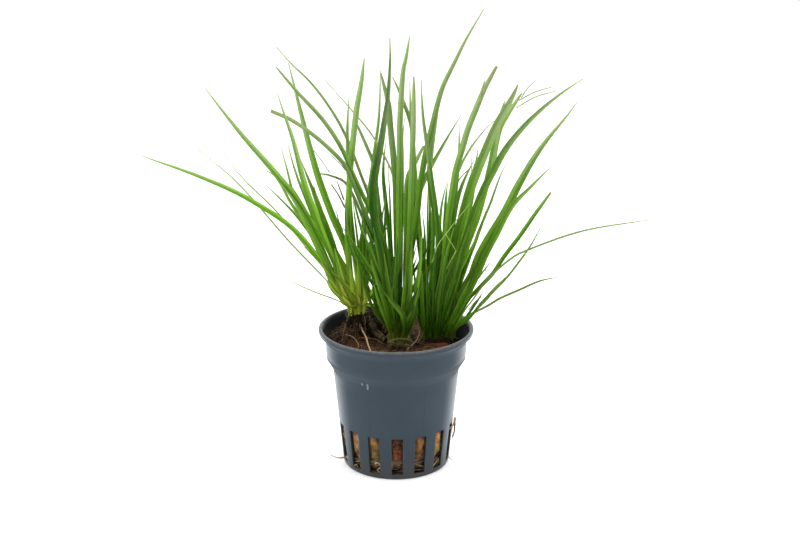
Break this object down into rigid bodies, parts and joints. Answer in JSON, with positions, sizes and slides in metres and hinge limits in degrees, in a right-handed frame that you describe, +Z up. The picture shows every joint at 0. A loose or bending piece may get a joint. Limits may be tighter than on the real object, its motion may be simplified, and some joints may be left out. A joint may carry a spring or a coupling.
{
  "type": "potted dwarf japanese sweet flag",
  "caption": "Grassy aquarium plant with fans of narrow arching leaves on a creeping rhizome, rooted in a mineral-wool plug in a round slotted net pot.",
  "frame": {"origin": "centre of the pot's base, on the surface that the pot stands on", "axes": "+Z up along the pot's axis, -Y towards the viewer of the picture, +X to that viewer's right"},
  "size_m": [0.1744, 0.0782, 0.165],
  "materials": {
    "pot_plastic": "slate grey moulded plastic with a soft sheen",
    "mineral_wool": "matt brown and tan fibres",
    "dark_roots": "matt dark root fibres",
    "pale_root": "matt pale root skin",
    "crown_green": "yellow-green leaf sheaths and brown scales on a rhizome",
    "leaf_green": "satin green leaf with fine lengthwise veins"
  },
  "bodies": {
    "root": {"hanging_root": "pale_root", "left_crown": "crown_green", "left_leaf_01": "leaf_green", "left_leaf_02": "leaf_green", "left_leaf_03": "leaf_green", "left_leaf_04": "leaf_green", "left_leaf_05": "leaf_green", "left_leaf_06": "leaf_green", "left_leaf_07": "leaf_green", "left_leaf_08": "leaf_green", "left_leaf_09": "leaf_green", "left_leaf_10": "leaf_green", "left_leaf_11": "leaf_green", "left_leaf_12": "leaf_green", "left_leaf_13": "leaf_green", "left_leaf_14": "leaf_green", "left_leaf_15": "leaf_green", "middle_crown": "crown_green", "middle_leaf_01": "leaf_green", "middle_leaf_02": "leaf_green", "middle_leaf_03": "leaf_green", "middle_leaf_04": "leaf_green", "middle_leaf_05": "leaf_green", "middle_leaf_06": "leaf_green", "middle_leaf_07": "leaf_green", "middle_leaf_08": "leaf_green", "middle_leaf_09": "leaf_green", "middle_leaf_10": "leaf_green", "middle_leaf_11": "leaf_green", "middle_leaf_12": "leaf_green", "middle_leaf_13": "leaf_green", "middle_leaf_14": "leaf_green", "middle_leaf_15": "leaf_green", "middle_leaf_16": "leaf_green", "middle_leaf_17": "leaf_green", "mineral_wool_plug": "mineral_wool", "net_pot": "pot_plastic", "right_crown": "crown_green", "right_leaf_01": "leaf_green", "right_leaf_02": "leaf_green", "right_leaf_03": "leaf_green", "right_leaf_04": "leaf_green", "right_leaf_05": "leaf_green", "right_leaf_06": "leaf_green", "right_leaf_07": "leaf_green", "right_leaf_08": "leaf_green", "right_leaf_09": "leaf_green", "right_leaf_10": "leaf_green", "right_leaf_11": "leaf_green", "right_leaf_12": "leaf_green", "right_leaf_13": "leaf_green", "right_leaf_14": "leaf_green", "right_leaf_15": "leaf_green", "right_leaf_16": "leaf_green", "right_leaf_17": "leaf_green", "right_leaf_18": "leaf_green", "right_leaf_19": "leaf_green", "root_mat": "dark_roots", "stray_root": "pale_root"}
  },
  "joints": []
}
